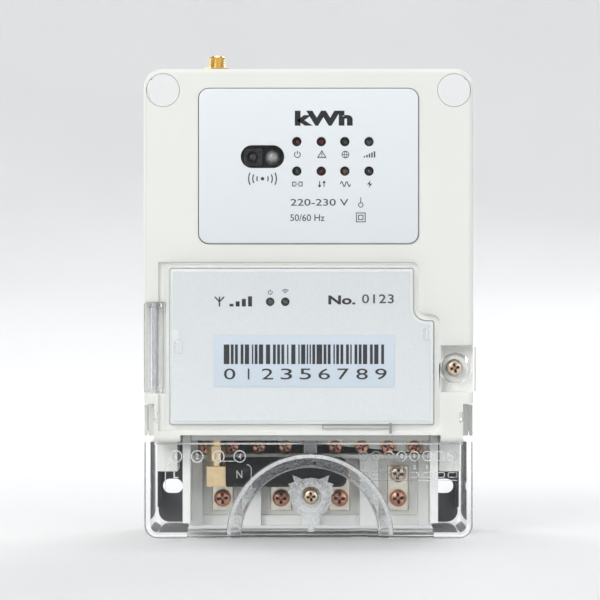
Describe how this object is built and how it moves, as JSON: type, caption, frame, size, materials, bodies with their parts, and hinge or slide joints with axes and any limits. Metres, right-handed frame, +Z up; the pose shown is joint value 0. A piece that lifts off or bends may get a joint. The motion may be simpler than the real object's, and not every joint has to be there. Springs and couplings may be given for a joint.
{
  "type": "prepaid electricity meter",
  "caption": "Wall-mounted single-phase electricity meter with a nameplate window, a communication module behind a hinged clear cover, and screw terminals behind a clear cover.",
  "frame": {"origin": "centre of the flat back face that lies on the wall", "axes": "+Z up, +Y into the wall, the front faces -Y, +X to the right as seen from the front"},
  "size_m": [0.1127, 0.058, 0.1664],
  "materials": {
    "charcoal_plastic": "fine matt moulded grain",
    "gasket_rubber": "soft matt rubber",
    "cover_plastic": "satin off-white moulding with a fine spark grain",
    "plug_plastic": "smooth satin moulding",
    "clear_polycarbonate": "polished clear moulding",
    "nameplate_print": "smooth printed sheet",
    "label_film": "semi-gloss printed film",
    "barcode_film": "semi-gloss pale blue film",
    "circuit_board": "solder mask over glass laminate",
    "black_plastic": "matt moulded",
    "module_plastic": "satin moulding",
    "red_led": "tinted clear epoxy",
    "green_led": "tinted clear epoxy",
    "amber_led": "tinted clear epoxy",
    "clear_led": "clear epoxy",
    "ir_black": "infrared-pass epoxy",
    "zinc_steel": "bright zinc plate",
    "nickel_steel": "warm nickel plate",
    "copper_screw": "copper-bronze plate",
    "tinned_brass": "tin plate with brushed faces",
    "bare_brass": "machined",
    "gold_plate": "thin gold plate",
    "copper_bar": "rolled copper",
    "block_plastic": "glass-filled grey moulding",
    "antenna_rubber": "satin overmoulded rubber",
    "blue_epoxy": "dipped epoxy",
    "battery_sleeve": "shrink sleeve",
    "coil_tape": "yellow winding tape"
  },
  "bodies": {
    "root": {"base_shell": "charcoal_plastic", "base_gasket": "gasket_rubber", "main_cover": "cover_plastic", "screw_plugs": "plug_plastic", "case_screws": "zinc_steel", "nameplate_window": "clear_polycarbonate", "nameplate_panel": "nameplate_print", "display_board": "circuit_board", "board_spacers": "tinned_brass", "leds_red": "red_led", "leds_green": "green_led", "leds_amber": "amber_led", "leds_clear": "clear_led", "ir_receiver": "ir_black", "ir_emitter": "clear_led", "power_board": "circuit_board", "board_screws": "zinc_steel", "power_relay": "black_plastic", "line_busbar": "copper_bar", "current_shunt": "copper_bar", "load_busbar": "copper_bar", "neutral_busbar": "copper_bar", "bulk_capacitors": "black_plastic", "surge_varistor": "blue_epoxy", "backup_battery": "battery_sleeve", "power_transformer": "coil_tape", "metering_chips": "black_plastic", "module_socket": "black_plastic", "module_housing": "module_plastic", "module_back": "charcoal_plastic", "module_board": "circuit_board", "module_modem": "zinc_steel", "sim_holder": "tinned_brass", "module_leds": "green_led", "module_header": "black_plastic", "module_label": "label_film", "barcode_label": "barcode_film", "door_hinge_pin": "zinc_steel", "module_screw_insert": "bare_brass", "terminal_block": "block_plastic", "main_terminals": "tinned_brass", "main_terminal_screws": "copper_screw", "aux_terminals": "bare_brass", "aux_terminal_screws": "copper_screw", "terminal_screw_insert": "bare_brass", "tamper_switch": "black_plastic", "bay_coax_jack": "gold_plate", "antenna_nut": "bare_brass", "antenna_elbow": "bare_brass", "antenna_rod": "antenna_rubber", "top_coax_jack": "gold_plate", "top_jack_nuts": "gold_plate"},
    "module_cover": {"module_cover": "clear_polycarbonate"},
    "module_seal_ring": {"module_seal_ring": "black_plastic"},
    "module_seal_screw": {"module_seal_screw": "nickel_steel"},
    "terminal_cover": {"terminal_cover": "clear_polycarbonate"},
    "terminal_seal_ring": {"terminal_seal_ring": "black_plastic"},
    "terminal_seal_screw": {"terminal_seal_screw": "copper_screw"},
    "tamper_plunger": {"tamper_plunger": "plug_plastic"}
  },
  "joints": [
    {"name": "module_cover_hinge", "type": "hinge", "parent": "root", "child": "module_cover", "pos_m": [-0.0523, -0.05, -0.0148], "axis": [0, 0, -1], "range_deg": [0, 100]},
    {"name": "module_seal_lift", "type": "slide", "parent": "module_cover", "child": "module_seal_ring", "axis": [0, -1, 0], "range_m": [0, 0.004]},
    {"name": "module_seal_turn", "type": "hinge", "parent": "module_seal_ring", "child": "module_seal_screw", "pos_m": [0.0497, -0.05, -0.0217], "axis": [0, -1, 0], "range_deg": [0, 2890]},
    {"name": "terminal_cover_pull", "type": "slide", "parent": "root", "child": "terminal_cover", "axis": [0, -1, 0], "range_m": [0, 0.06]},
    {"name": "terminal_seal_lift", "type": "slide", "parent": "terminal_cover", "child": "terminal_seal_ring", "axis": [0, -1, 0], "range_m": [0, 0.005]},
    {"name": "terminal_seal_turn", "type": "hinge", "parent": "terminal_seal_ring", "child": "terminal_seal_screw", "pos_m": [0.00085, -0.04, -0.066], "axis": [0, -1, 0], "range_deg": [0, 3610]},
    {"name": "tamper_plunger_press", "type": "slide", "parent": "root", "child": "tamper_plunger", "axis": [0, 1, 0], "range_m": [0, 0.0012], "stiffness_N_per_m": 200}
  ],
  "couplings": [
    {"joint": "module_seal_turn", "follows": "module_seal_lift", "rad_per_m": 12566},
    {"joint": "terminal_seal_turn", "follows": "terminal_seal_lift", "rad_per_m": 12566}
  ]
}
